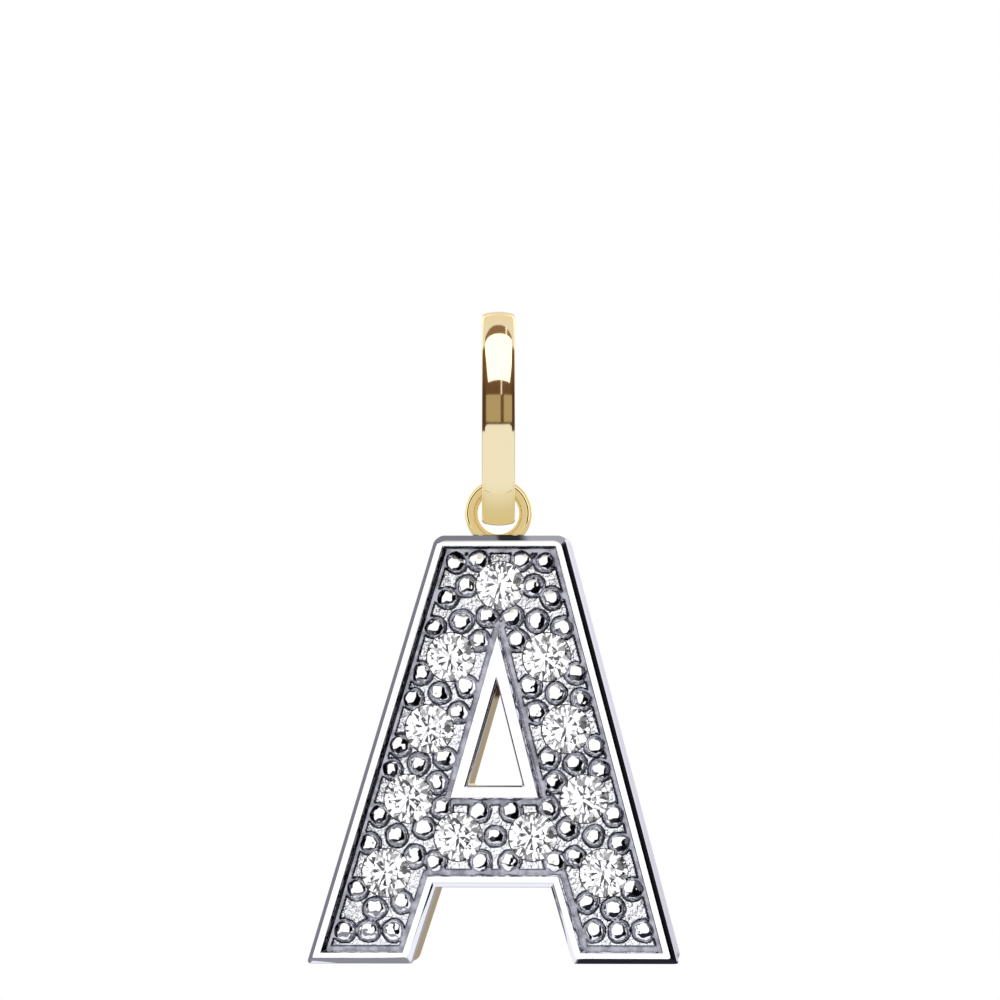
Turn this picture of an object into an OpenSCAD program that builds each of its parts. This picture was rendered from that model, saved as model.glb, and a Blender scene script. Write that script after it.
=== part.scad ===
// Initial pendant: a letter A of yellow gold with a white plated, stone-set front, hanging by a
// small loop from a plain gold bail. Millimetres, +Z up, the letter's front towards -Y. The origin
// is the seat of the chain, at the top of the bail's hole, and the bail's hole runs along X.

/* [Bail] */
// Outer diameter of the bail's ring
bail_d = 7; // [6:0.1:9]
// Width of the bail's band, along X
bail_w = 1.08; // [0.8:0.02:1.3]
// Thickness of the bail's band
bail_t = 0.8; // [0.6:0.02:0.9]
// Rise of the band's domed outer face
bail_dome = 0.09; // [0.03:0.01:0.15]
// Rounding of the band's inner edges
bail_edge_r = 0.12; // [0.08:0.01:0.18]

/* [Loop] */
// Width of the loop's ring, from its hole to its outer edge
loop_w = 0.42; // [0.3:0.02:0.5]
// Thickness of the loop, front to back
loop_t = 0.3; // [0.26:0.02:0.4]
// Rounding of the loop's outer edges, and of the edges of its hole
loop_outer_r = 0.14; // [0.05:0.01:0.14]
loop_inner_r = 0.12; // [0.05:0.01:0.12]
// Running gap between the loop and the corners of the bail's band
loop_gap = 0.06; // [0.03:0.01:0.12]
// Depth of the ring's middle in the letter's top edge
loop_sink = 0.17; // [0.1:0.01:0.3]

/* [Letter] */
// Height of the letter
letter_h = 14; // [12:0.5:18]
// Thickness of the letter, front to back
letter_t = 1.8; // [1.6:0.1:2]
// Width across the letter's top edge
top_w = 4.25; // [4:0.05:5]
// Width across the letter's feet
foot_w = 12.25; // [11.5:0.25:14]
// Width of the notch between the feet, at its top
notch_top_w = 3.8; // [3.4:0.1:4]
// Width of the notch between the feet, at the bottom
notch_foot_w = 5.36; // [4.8:0.08:5.6]
// Height of the notch between the feet
notch_h = 2.5; // [2:0.1:2.8]
// Sideways place of the letter's middle line at the top, against the loop
top_shift = 0.15; // [-0.2:0.05:0.2]
// Sideways place of the letter's middle line at the feet, against the loop
foot_shift = -0.11; // [-0.2:0.01:0.2]
// Turn of the letter about the vertical, its right side towards the front
letter_turn = -8; // [-12:1:12]
// Radius of the letter's top corners
top_r = 0.34; // [0.1:0.02:0.5]
// Radius of the white front's corners at the feet
foot_r = 0.08; // [0.05:0.01:0.15]
// Radius of the gold body's corners at the feet
body_foot_r = 0.3; // [0.1:0.02:0.4]
// Radius of the two corners in the notch
notch_r = 0.15; // [0.05:0.01:0.3]

/* [Counter] */
// Width of the counter's opening at its base
counter_w = 1.86; // [1.6:0.02:2]
// Height of the counter's opening
counter_h = 3.4; // [3.1:0.1:3.6]
// Height of the crossbar below the counter, down to the notch
crossbar_h = 3.32; // [3.1:0.02:3.6]
// Radius of the counter's lower corners
counter_r = 0.14; // [0.05:0.01:0.2]
// Width and depth of the bevel round the counter's edge
counter_bevel = 0.07; // [0.03:0.01:0.1]

/* [White front] */
// Thickness of the white plated front behind its field
plated_t = 0.05; // [0.03:0.01:0.2]
// Step from the white front in to the gold body
body_step = 0.06; // [0.02:0.01:0.1]
// Width of the raised rim round the outline
rim_w = 0.35; // [0.25:0.01:0.4]
// Width of the raised rim round the counter
counter_rim_w = 0.4; // [0.3:0.01:0.42]
// Width and depth of the bevel on the rim's outer edge
bevel = 0.15; // [0.05:0.01:0.2]
// Depth of the sunken field below the rim
field_depth = 0.4; // [0.3:0.02:0.5]
// Lean of the rim's inner walls, over the depth of the field
rim_draft = 0.1; // [0.05:0.01:0.15]

/* [Stones] */
// Diameter of the round stones
stone_d = 1.6; // [1.4:0.02:1.66]
// Gap between a stone and its seat
stone_gap = 0.02; // [0.01:0.005:0.04]
// Depth of the girdles below the field
stone_sink = 0.06; // [0.04:0.01:0.08]
// Diameter of the light holes drilled through the back
light_hole_d = 0.6; // [0.4:0.05:0.8]
// Diameter of the raised grains
grain_d = 0.6; // [0.5:0.02:0.62]
// Overhang of a grain over the girdle that it holds
grain_grip = 0.03; // [0:0.01:0.04]
// Clear field between the rim and the leg stones
stone_margin = 0.43; // [0.35:0.01:0.5]

/* [Hidden] */
$fn = 72;

GOLD = "gold";
WHITE_METAL = "gainsboro";
STONE = "aliceblue";

// Overshoot of a cut past the face that it opens
cut = 0.05;
// Steps on each rounded corner, and on the band's dome
corner_steps = 4;
dome_steps = 8;
// Rounding of the band's outer edges, and the least radius of any corner of the letter
band_edge_r = 0.08;
least_r = 0.02;

// The bail's centre, and the loop's, in the middle of the band's thickness. Its hole clears the
// band's rounded corners, and loop_r is the radius of its ring's middle.
bail_z = -(bail_d / 2 - bail_t);
loop_z = bail_z - (bail_d - bail_t) / 2;
edge_x = (bail_w / 2 - bail_edge_r) / cos(letter_turn);
loop_r = norm([edge_x, bail_t / 2 - bail_edge_r]) + bail_edge_r + loop_gap + loop_w / 2;
letter_z = loop_z - loop_r + loop_sink;

// Levels in the letter, measured forwards from the middle of its thickness
front = letter_t / 2;
back = -letter_t / 2;
field = front - field_depth;
step_level = field - plated_t;
girdle = field - stone_sink;

// Proportions of a round brilliant, as shares of its diameter
table_share = 0.57;
crown_share = 0.15;
girdle_share = 0.03;
pavilion_share = 0.43;
star_share = 0.5;
lower_share = 0.23;
// Main facets round a brilliant, and the angles from one to the next and halfway
mains = 8;
main_turn = 360 / mains;
half_turn = main_turn / 2;
// Turn of each stone about its own axis past the one before, as they happened to be set
set_turn = 13;

stone_r = stone_d / 2;
grain_r = grain_d / 2;
// Distance from a stone's centre to the grains that hold it
grain_ring_r = stone_r + grain_r - grain_grip;

// Drops below the letter's top edge: the notch and the counter's base
notch_drop = letter_h - notch_h;
counter_base = notch_drop - crossbar_h;

// Drops of the stones, as shares of the letter's height
top_row = 0.117;
leg_rows = [0.284, 0.452, 0.615, 0.788];
bar_row = 0.704;
// Distance of the leg stones from the letter's outer edge, along X
leg_inset = rim_w + rim_draft + stone_margin + stone_r;
// Distance of the crossbar stones from the middle line, as a share of the half width there
bar_share = 0.249;

// Directions of the grains round a stone of the right half, in degrees clockwise from its top
TOP_GRAINS = [40, 91, 158];
LEG_GRAINS = [45, 135, 225, 315];
BAR_GRAINS = [29, 138, 223, 320];
// Grains beside the top stone: share of the half width at their drop, and share of the height
SIDE_GRAINS = [[0.62, 0.061], [0.64, 0.146]];
// The last row at each foot: drop, and places beside the leg's line in grain ring radii
foot_row = 0.923;
FOOT_GRAINS = [-0.75, 0, 0.72];
// Drop of the single grain in the middle of the crossbar
middle_row = 0.702;

// The letter's middle line and half width at a drop, and a point beside that line
function middle(drop) = top_shift + (foot_shift - top_shift) * drop / letter_h;
function half_w(drop) = (top_w + (foot_w - top_w) * drop / letter_h) / 2;
function at(x, drop) = [middle(drop) + x, -drop];

function unit(v) = v / norm(v);
function arc(c, r, from, to, steps) =
    [for (k = [0:steps]) let (a = from + (to - from) * k / steps) c + r * [cos(a), sin(a)]];

// Corners of an anticlockwise outline: the inward normals of the edges before and after each
function before(i, n) = (i + n - 1) % n;
function edge_normal(pts, i) = let (v = unit(pts[(i + 1) % len(pts)] - pts[i])) [-v.y, v.x];
function normals(pts, i) = [edge_normal(pts, before(i, len(pts))), edge_normal(pts, i)];
function hollow(pts, i) = let (n = normals(pts, i)) n[0].x * n[1].y < n[0].y * n[1].x;

// An outline with every edge moved inwards by d, and its corners mitred
function inset(pts, d) = [
    for (i = [0:len(pts) - 1]) let (n = normals(pts, i)) pts[i] + d * (n[0] + n[1]) / (1 + n[0] * n[1])
];

// An outline with its corners rounded, each to its own radius
function rounded(pts, radii) = [
    for (i = [0:len(pts) - 1])
        let (
            n = normals(pts, i),
            turn = hollow(pts, i) ? -1 : 1,
            centre = pts[i] + turn * radii[i] * (n[0] + n[1]) / (1 + n[0] * n[1]),
            from = atan2(-turn * n[0].y, -turn * n[0].x),
            sweep = turn * acos(n[0] * n[1])
        )
        each arc(centre, radii[i], from, from + sweep, corner_steps)
];

// Corner radii of an outline moved inwards by d: hollow corners grow and the others shrink
function moved(pts, radii, d) = [
    for (i = [0:len(pts) - 1]) max(radii[i] + (hollow(pts, i) ? 1 : -1) * max(d, 0), least_r)
];

// The letter's outline, anticlockwise from the left foot's outer corner
OUTLINE = [
    at(-half_w(letter_h), letter_h), at(-notch_foot_w / 2, letter_h),
    at(-notch_top_w / 2, notch_drop), at(notch_top_w / 2, notch_drop),
    at(notch_foot_w / 2, letter_h), at(half_w(letter_h), letter_h),
    at(half_w(0), 0), at(-half_w(0), 0)
];
FRONT_RADII = [foot_r, foot_r, notch_r, notch_r, foot_r, foot_r, top_r, top_r];
BODY_RADII = [body_foot_r, body_foot_r, notch_r, notch_r, body_foot_r, body_foot_r, top_r, top_r];

// The counter's outline, anticlockwise from its left corner
COUNTER = [
    at(-counter_w / 2, counter_base), at(counter_w / 2, counter_base), at(0, counter_base - counter_h)
];
COUNTER_RADII = [counter_r, counter_r, least_r];

function outline(d, radii = FRONT_RADII) = rounded(inset(OUTLINE, d), moved(OUTLINE, radii, d));
function counter(d) = rounded(inset(COUNTER, d), moved(COUNTER, COUNTER_RADII, d));

// The flat faces that fill each outline, by the order of its points. The letter's notch makes it
// four: the left leg, the right leg, the stretch between them and the rounded top.
function corner(i) = i * (corner_steps + 1);
LETTER_FACES = [
    [corner(8) - 1, for (i = [0:corner(3) - 1]) i],
    [corner(6), for (i = [corner(3):corner(6) - 1]) i],
    [corner(8) - 1, corner(3) - 1, corner(3), corner(6)],
    [corner(8) - 1, for (i = [corner(6):corner(8) - 2]) i]
];
COUNTER_FACES = [[for (i = [0:corner(3) - 1]) i]];

// The stones' centres. leg_point() is also where the grains between the leg stones stand.
function leg_point(side, share) =
    let (drop = share * letter_h) at(side * (half_w(drop) - leg_inset), drop);
function bar_point(side) = let (drop = bar_row * letter_h) at(side * bar_share * half_w(drop), drop);
TOP_STONE = at(0, top_row * letter_h);
STONES = [
    TOP_STONE, bar_point(-1), bar_point(1),
    for (side = [-1, 1], row = leg_rows) leg_point(side, row)
];

// The grains' centres
function held(c, side, angles, lean = 0) =
    [for (a = angles) c + grain_ring_r * [side * sin(a - lean), cos(a - lean)]];
leg_lean = atan((foot_w - top_w) / 2 / letter_h);
half_pitch = (leg_rows[3] - leg_rows[0]) / 6;
between_rows = [
    leg_rows[0] - half_pitch, for (k = [0:2]) (leg_rows[k] + leg_rows[k + 1]) / 2, leg_rows[3] + half_pitch
];
GRAINS = [
    for (side = [-1, 1]) each [
        each held(TOP_STONE, side, TOP_GRAINS),
        each held(bar_point(side), side, BAR_GRAINS),
        for (row = leg_rows) each held(leg_point(side, row), side, LEG_GRAINS, leg_lean),
        for (row = between_rows) leg_point(side, row),
        for (g = SIDE_GRAINS) at(side * g[0] * half_w(g[1] * letter_h), g[1] * letter_h),
        for (place = FOOT_GRAINS) leg_point(side, foot_row) + [side * place * grain_ring_r, 0]
    ],
    at(0, middle_row * letter_h)
];

// Lean of the rim's inner walls at a level: none at the front, rim_draft at the field
function draft(level) = rim_draft * (front - level) / field_depth;

// A slab between two outlines of as many points, one at each level, with the faces that fill them
module slab(low, high, from, to, fill) {
    n = len(low);
    polyhedron(
        points = [for (p = low) [p.x, p.y, from], for (p = high) [p.x, p.y, to]],
        faces = [
            for (face = fill) face,
            for (face = fill) [for (i = [0:len(face) - 1]) n + face[(len(face) - i) % len(face)]],
            for (i = [0:n - 1]) [i, n + i, n + (i + 1) % n, (i + 1) % n]
        ]
    );
}

// The bail's band: domed outside, with round edges inside, swept round the chain's way through
module bail() {
    inner_r = bail_d / 2 - bail_t;
    dome_r = (bail_w ^ 2 / 4 + bail_dome ^ 2) / (2 * bail_dome);
    dome_x = bail_d / 2 - dome_r;
    lean = asin((bail_w / 2 - band_edge_r) / (dome_r - band_edge_r));
    edge = (dome_r - band_edge_r) * [cos(lean), sin(lean)] + [dome_x, 0];
    inside = [inner_r + bail_edge_r, bail_w / 2 - bail_edge_r];
    dome = arc([dome_x, 0], dome_r, -lean, lean, dome_steps);
    color(GOLD)
        translate([0, 0, bail_z])
            rotate([0, 90, 0])
                rotate_extrude()
                    polygon([
                        each arc([inside.x, -inside.y], bail_edge_r, 180, 270, corner_steps),
                        each arc([edge.x, -edge.y], band_edge_r, 270, 360 - lean, corner_steps),
                        for (k = [1:dome_steps - 1]) dome[k],
                        each arc(edge, band_edge_r, lean, 90, corner_steps),
                        each arc(inside, bail_edge_r, 90, 180, corner_steps)
                    ]);
}

// Places what is drawn flat, with its front up, on the hanging and slightly turned letter
module on_letter() {
    rotate([0, 0, letter_turn]) translate([0, 0, letter_z]) rotate([90, 0, 0]) children();
}

// The gold body behind the white front
module gold_body() {
    color(GOLD)
        translate([0, 0, back])
            linear_extrude(step_level - back)
                polygon(outline(body_step, BODY_RADII));
}

// The white front, up to the bevel round the rim
module white_front() {
    color(WHITE_METAL) {
        translate([0, 0, step_level])
            linear_extrude(front - bevel - step_level)
                polygon(outline(0));
        slab(outline(0), outline(bevel), front - bevel, front, LETTER_FACES);
    }
}

// The sunken field between the outer rim and the counter's rim
module field_pocket() {
    top = front + cut;
    difference() {
        slab(outline(rim_w + draft(field)), outline(rim_w + draft(top)), field, top, LETTER_FACES);
        slab(
            counter(-counter_rim_w - draft(field - cut)), counter(-counter_rim_w - draft(top + cut)),
            field - cut, top + cut, COUNTER_FACES
        );
    }
}

// The opening of the counter, right through, with its bevelled edge
module counter_hole() {
    translate([0, 0, back - cut]) linear_extrude(letter_t + 2 * cut) polygon(counter(0));
    slab(
        counter(0), counter(-counter_bevel - cut),
        front - counter_bevel, front + cut, COUNTER_FACES
    );
}

// A stone's seat: a straight mouth, a cone under the pavilion and a light hole through the back
module seat() {
    mouth_r = stone_r + stone_gap;
    girdle_h = girdle_share * stone_d;
    cone_h = pavilion_share * stone_d * (mouth_r - light_hole_d / 2) / stone_r;
    translate([0, 0, girdle - girdle_h]) cylinder(h = stone_sink + girdle_h + cut, r = mouth_r);
    translate([0, 0, girdle - girdle_h - cone_h]) cylinder(h = cone_h, r1 = light_hole_d / 2, r2 = mouth_r);
    translate([0, 0, back - cut]) cylinder(h = girdle - back, d = light_hole_d);
}

// A grain: half a ball that stands on the field
module grain() {
    translate([0, 0, field])
        rotate_extrude()
            intersection() {
                circle(r = grain_r);
                square(grain_r);
            }
}

// The small flat-faced loop, soldered into the letter's top edge
module loop() {
    hole = [loop_r - loop_w / 2 + loop_inner_r, loop_t / 2 - loop_inner_r];
    outside = [loop_r + loop_w / 2 - loop_outer_r, loop_t / 2 - loop_outer_r];
    color(GOLD)
        translate([0, loop_r - loop_sink, 0])
            rotate_extrude()
                polygon([
                    each arc([hole.x, -hole.y], loop_inner_r, 180, 270, corner_steps),
                    each arc([outside.x, -outside.y], loop_outer_r, 270, 360, corner_steps),
                    each arc(outside, loop_outer_r, 0, 90, corner_steps),
                    each arc(hole, loop_inner_r, 90, 180, corner_steps)
                ]);
}

// The letter with its loop, in one soldered piece
module letter() {
    on_letter() {
        difference() {
            union() {
                gold_body();
                white_front();
            }
            field_pocket();
            counter_hole();
            for (p = STONES) translate(p) seat();
        }
        color(WHITE_METAL) for (p = GRAINS) translate(p) grain();
        loop();
    }
}

// A round brilliant about its girdle's upper edge: table, stars, kites, girdle and pavilion
module brilliant() {
    crown_h = crown_share * stone_d;
    girdle_h = girdle_share * stone_d;
    pavilion_h = pavilion_share * stone_d;
    table_r = table_share * stone_r;
    table_mid = table_r * cos(half_turn);
    star_r = table_mid + star_share * (stone_r - table_mid);
    star_h = crown_h * (stone_r - star_r * cos(half_turn)) / (stone_r - table_r);
    lower_r = lower_share * stone_r;
    lower_h = pavilion_h * (1 - lower_share * cos(half_turn));
    table = 0;
    star = mains;
    upper = star + mains;
    under = upper + 2 * mains;
    lower = under + 2 * mains;
    culet = lower + mains;
    last = mains - 1;
    function ring(r, angle, z) = [r * cos(angle), r * sin(angle), z];
    polyhedron(
        points = [
            for (k = [0:last]) ring(table_r, main_turn * k, crown_h),
            for (k = [0:last]) ring(star_r, main_turn * k + half_turn, star_h),
            for (z = [0, -girdle_h], k = [0:2 * mains - 1]) ring(stone_r, half_turn * k, z),
            for (k = [0:last]) ring(lower_r, main_turn * k + half_turn, -girdle_h - lower_h),
            [0, 0, -girdle_h - pavilion_h]
        ],
        faces = [
            [for (k = [last:-1:0]) table + k],
            for (k = [0:last]) let (next = (k + 1) % mains, before = before(k, mains)) each [
                [table + next, star + k, table + k],
                [star + k, upper + 2 * k, star + before, table + k],
                [upper + 2 * k + 1, upper + 2 * k, star + k],
                [upper + 2 * next, upper + 2 * k + 1, star + k],
                [lower + k, under + 2 * k, under + 2 * k + 1],
                [lower + k, under + 2 * k + 1, under + 2 * next],
                [culet, lower + before, under + 2 * k, lower + k]
            ],
            for (k = [0:2 * mains - 1]) let (next = (k + 1) % (2 * mains))
                [under + k, upper + k, upper + next, under + next]
        ]
    );
}

// The stone of a given number, in its seat and turned about its own axis
module stone(p, number) {
    color(STONE) on_letter() translate([p.x, p.y, girdle]) rotate([0, 0, set_turn * number]) brilliant();
}

bail();
letter();
stone(TOP_STONE, 1);  // stone_top
stone(bar_point(-1), 2);  // stone_bar_left
stone(bar_point(1), 4);  // stone_bar_right
for (k = [1:4]) {
    stone(leg_point(-1, leg_rows[k - 1]), 2 * k + 3);
    stone(leg_point(1, leg_rows[k - 1]), 2 * k + 4);
}
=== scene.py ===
"""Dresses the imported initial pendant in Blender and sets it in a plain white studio.

The letter's own frame lies flat while it is modelled: X to the right, Y up the letter and Z
towards its front, with the origin at the middle of its top edge. hang_up() then puts each piece
in its hanging place. Everything is in metres.
"""

import math
import random

import bmesh
import bpy
from mathutils import Euler, Matrix, Vector


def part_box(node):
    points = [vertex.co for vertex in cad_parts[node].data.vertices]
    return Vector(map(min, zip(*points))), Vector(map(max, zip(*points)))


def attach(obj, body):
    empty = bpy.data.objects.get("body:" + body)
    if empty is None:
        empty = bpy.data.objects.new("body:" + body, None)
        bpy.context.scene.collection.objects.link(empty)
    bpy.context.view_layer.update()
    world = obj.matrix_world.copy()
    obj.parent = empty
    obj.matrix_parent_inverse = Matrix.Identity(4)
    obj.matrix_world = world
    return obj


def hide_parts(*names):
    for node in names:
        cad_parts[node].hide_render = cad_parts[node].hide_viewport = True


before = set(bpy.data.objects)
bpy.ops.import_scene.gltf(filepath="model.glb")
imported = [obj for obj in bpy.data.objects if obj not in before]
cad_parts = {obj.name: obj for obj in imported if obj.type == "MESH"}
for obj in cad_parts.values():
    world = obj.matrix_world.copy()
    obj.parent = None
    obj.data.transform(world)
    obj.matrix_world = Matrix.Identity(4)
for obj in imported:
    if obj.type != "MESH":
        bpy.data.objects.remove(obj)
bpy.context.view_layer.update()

bl_info = {
    "name": "Initial Pendant",
    "version": (1, 0, 0),
    "blender": (4, 5, 0),
    "location": "3D View > Sidebar > Pendant",
    "description": "Builds the metal, stones and studio of a stone-set initial pendant",
    "category": "Object",
}

MM = 0.001
BAIL_LOW, BAIL_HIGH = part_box("bail")
BAIL_MIDDLE = (BAIL_LOW + BAIL_HIGH) / 2
LETTER_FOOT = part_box("letter")[0].z
STONES = sorted(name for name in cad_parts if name.startswith("stone_"))

# Distance under which points are one
WELD = 0.0001 * MM
# Side of the square sheets that outlines are cut from
SHEET = 40 * MM
# How far a cutting piece reaches beyond what it cuts
OVERSHOOT = 0.2 * MM
# Least share of Z in the normal of a level face
LEVEL = 0.9


def length(name, description, millimetres):
    return bpy.props.FloatProperty(
        name=name, description=description, default=millimetres * MM, unit="LENGTH"
    )


def tint(name, description, default):
    return bpy.props.FloatVectorProperty(
        name=name, description=description, default=default, subtype="COLOR"
    )


class BailSizes(bpy.types.PropertyGroup):
    """Sizes of the ring that the chain runs through"""

    diameter: length("Diameter", "Outer diameter of the ring", 7)
    width: length("Width", "Width of the band, seen from the front", (BAIL_HIGH.x - BAIL_LOW.x) / MM)
    thickness: length("Thickness", "Thickness of the band", 0.8)
    dome: length("Dome", "Rise of the band's outer face", 0.09)
    edge: length("Edge", "Rounding of the band's inner edges", 0.12)


class LetterSizes(bpy.types.PropertyGroup):
    """Sizes of the letter and of the loop on its top edge"""

    height: length("Height", "Height of the letter", 14)
    thickness: length("Thickness", "Thickness, front to back", 1.8)
    turn: bpy.props.FloatProperty(
        name="Turn",
        description="Turn about the vertical as the letter hangs",
        default=math.radians(-8),
        subtype="ANGLE",
    )
    top_width: length("Top width", "Width across the top edge", 4.25)
    foot_width: length("Foot width", "Width across the feet", 12.25)
    notch_top: length("Notch top", "Width of the notch at its top", 3.8)
    notch_foot: length("Notch foot", "Width of the notch at the feet", 5.36)
    notch_height: length("Notch height", "Height of the notch", 2.5)
    counter_width: length("Counter width", "Width of the counter's base", 1.86)
    counter_height: length("Counter height", "Height of the counter", 3.4)
    crossbar: length("Crossbar", "Height of the crossbar", 3.32)
    rim: length("Rim", "Width of the rim round the letter", 0.35)
    bevel: length("Bevel", "Bevel on the rim's outer edge", 0.15)
    counter_rim: length("Counter rim", "Width of the counter's rim", 0.4)
    field_depth: length("Field depth", "Depth of the field below the rim", 0.4)
    grain: length("Grain", "Diameter of the grains", 0.66)
    stone: length("Stone", "Diameter of the stones", 1.6)
    loop_width: length("Loop width", "Width of the loop's ring", 0.42)
    loop_thickness: length("Loop thickness", "Thickness of the loop", 0.3)
    loop_hole: length("Loop hole", "Radius of the loop's hole", 0.68823)


class PendantColours(bpy.types.PropertyGroup):
    """Colours of the metals and the stones"""

    gold: tint("Gold", "Colour of the yellow gold", (0.87, 0.75, 0.48))
    white: tint("White", "Colour of the white plating", (0.86, 0.86, 0.90))
    stone: tint("Stone", "Colour of the stones", (1.0, 1.0, 1.0))


def sizes():
    return bpy.context.scene.pendant_letter


# Sideways place of the letter's middle line at its top and at its feet
TOP_MIDDLE, FOOT_MIDDLE = 0.15 * MM, -0.11 * MM


def middle(drop):
    """The letter's middle line, at a drop below its top edge."""
    return TOP_MIDDLE + (FOOT_MIDDLE - TOP_MIDDLE) * drop / sizes().height


def half_width(drop):
    top, foot = sizes().top_width, sizes().foot_width
    return (top + (foot - top) * drop / sizes().height) / 2


def at(across, drop):
    return Vector((middle(drop) + across, -drop, 0))


def letter_corners():
    height = sizes().height
    foot, top = half_width(height), half_width(0)
    return [at(-foot, height), at(foot, height), at(top, 0), at(-top, 0)]


def notch_corners():
    """The notch between the feet, carried on below them, so that it cuts right through."""
    letter = sizes()
    lean = (letter.notch_foot - letter.notch_top) / 2 / letter.notch_height
    below = letter.notch_height / 2
    foot, top = letter.notch_foot / 2 + lean * below, letter.notch_top / 2
    low, high = letter.height + below, letter.height - letter.notch_height
    return [at(-foot, low), at(foot, low), at(top, high), at(-top, high)]


def counter_corners():
    letter = sizes()
    base = letter.height - letter.notch_height - letter.crossbar
    half = letter.counter_width / 2
    return [at(-half, base), at(half, base), at(0, base - letter.counter_height)]


def rectangle(left, right, low, high):
    return [Vector((x, y, 0)) for x, y in ((left, low), (right, low), (right, high), (left, high))]


def levels():
    """The letter's front, its field and its back, from the middle of its thickness."""
    front = sizes().thickness / 2
    return front, front - sizes().field_depth, -front


def dome_radius():
    """The radius of the bail's domed outer face, across the band."""
    bail = bpy.context.scene.pendant_bail
    return ((bail.width / 2) ** 2 + bail.dome ** 2) / (2 * bail.dome)


def loop_middle():
    """The height of the loop's middle, in the middle of the band's thickness."""
    bail = bpy.context.scene.pendant_bail
    return BAIL_MIDDLE.z - (bail.diameter - bail.thickness) / 2


def moved_in(corners, inwards):
    """An anticlockwise outline with each edge moved inwards, and its corners mitred."""
    result = []
    for before, here, after in zip(corners[-1:] + corners[:-1], corners, corners[1:] + corners[:1]):
        first, second = (here - before).normalized(), (after - here).normalized()
        normals = Vector((-first.y, first.x, 0)) + Vector((-second.y, second.x, 0))
        result.append(here + inwards * normals / (1 + first.dot(second)))
    return result


def sides(corners):
    return zip(corners, corners[1:] + corners[:1])


def inside(point, corners):
    """Whether a point lies within an anticlockwise outline with no hollow corners."""
    return all((there - here).cross(point - here).z > 0 for here, there in sides(corners))


def take(*pieces):
    """Selects these objects alone, with the first one active."""
    bpy.ops.object.select_all(action="DESELECT")
    for piece in pieces:
        piece.select_set(True)
    bpy.context.view_layer.objects.active = pieces[0]


def take_all():
    """Selects all of the edited piece."""
    bpy.ops.mesh.select_all(action="SELECT")


def edit(piece):
    take(piece)
    bpy.ops.object.mode_set(mode="EDIT")
    take_all()


def done():
    bpy.ops.object.mode_set(mode="OBJECT")


def settle(piece):
    """Applies an object's place, turn and scale to its mesh."""
    take(piece)
    bpy.ops.object.transform_apply(location=True, rotation=True, scale=True)


def added(name):
    """The object that was just added, with its name."""
    piece = bpy.context.object
    piece.name = name
    return piece


def pick(kind, test):
    """Selects the vertices, edges or faces of the edited piece that pass a test, and no others."""
    bpy.ops.mesh.select_mode(type=kind)
    bpy.ops.mesh.select_all(action="DESELECT")
    data = bpy.context.object.data
    mesh = bmesh.from_edit_mesh(data)
    for element in {"VERT": mesh.verts, "EDGE": mesh.edges, "FACE": mesh.faces}[kind]:
        if test(element):
            element.select_set(True)
    bmesh.update_edit_mesh(data)


def close_up():
    """Welds the edited piece's doubled points, turns its faces outwards and leaves it."""
    take_all()
    bpy.ops.mesh.remove_doubles(threshold=WELD)
    take_all()
    bpy.ops.mesh.normals_make_consistent(inside=False)
    done()


def trim(corners, clear=True):
    """Cuts the edited sheet along an outline with no hollow corners, and clears what is outside."""
    for here, there in sides(corners):
        along = there - here
        take_all()
        bpy.ops.mesh.bisect(
            plane_co=here, plane_no=(along.y, -along.x, 0), clear_outer=clear, threshold=WELD
        )


def cut_out(corners):
    """Cuts an opening with that outline out of the edited flat sheet, which stays one face."""
    trim(corners, clear=False)
    pick("FACE", lambda face: inside(face.calc_center_median(), corners))
    bpy.ops.mesh.delete(type="FACE")
    take_all()
    bpy.ops.mesh.dissolve_limited(angle_limit=math.radians(1))


def sheet(name, corners):
    """A flat sheet with that outline, ready to be edited."""
    bpy.ops.mesh.primitive_plane_add(size=SHEET)
    piece = added(name)
    edit(piece)
    trim(corners)
    return piece


def slab(name, corners, low, high, opening=None):
    """A flat slab over an outline, from one level to another, with an open notch where given."""
    piece = sheet(name, corners)
    if opening:
        cut_out(opening)
    take_all()
    bpy.ops.transform.translate(value=(0, 0, low))
    bpy.ops.mesh.extrude_region_move(TRANSFORM_OT_translate={"value": (0, 0, high - low)})
    close_up()
    return piece


def round_points(test, radius):
    pick("VERT", test)
    bpy.ops.mesh.bevel(offset=radius, segments=EDGE_STEPS, affect="VERTICES")


def spin_round(piece, steps, axis, place):
    """Spins the edited profile into a ring, and puts the ring in its place."""
    take_all()
    bpy.ops.mesh.spin(
        steps=steps, angle=math.tau, center=(0, 0, 0), axis=axis, use_auto_merge=True
    )
    pick("FACE", lambda face: len(face.verts) > 4)
    bpy.ops.mesh.delete(type="FACE")
    close_up()
    piece.matrix_world = place
    settle(piece)


def modify(piece, name, kind, **settings):
    """Gives a piece a modifier with these settings, and applies it."""
    take(piece)
    modifier = piece.modifiers.new(name, kind)
    for setting, value in settings.items():
        setattr(modifier, setting, value)
    bpy.ops.object.modifier_apply(modifier=modifier.name)


def combine(piece, operation, *others):
    """Adds other closed pieces to one, or cuts them out of it, and removes them."""
    for other in others:
        name = operation.title()
        modify(piece, name, "BOOLEAN", operation=operation, solver="MANIFOLD", object=other)
        bpy.data.objects.remove(other)


def joined(pieces):
    take(*pieces)
    bpy.ops.object.join()
    return bpy.context.object


def copy_of(piece):
    take(piece)
    bpy.ops.object.duplicate()
    return bpy.context.object


def smooth(piece, angle):
    take(piece)
    bpy.ops.object.shade_smooth_by_angle(angle=math.radians(angle))


def clouds(name, size, depth):
    """A texture that displaces points by soft noise with features of about the given size."""
    texture = bpy.data.textures.new(name, "CLOUDS")
    texture.noise_scale = size
    texture.noise_depth = depth
    return texture


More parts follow.
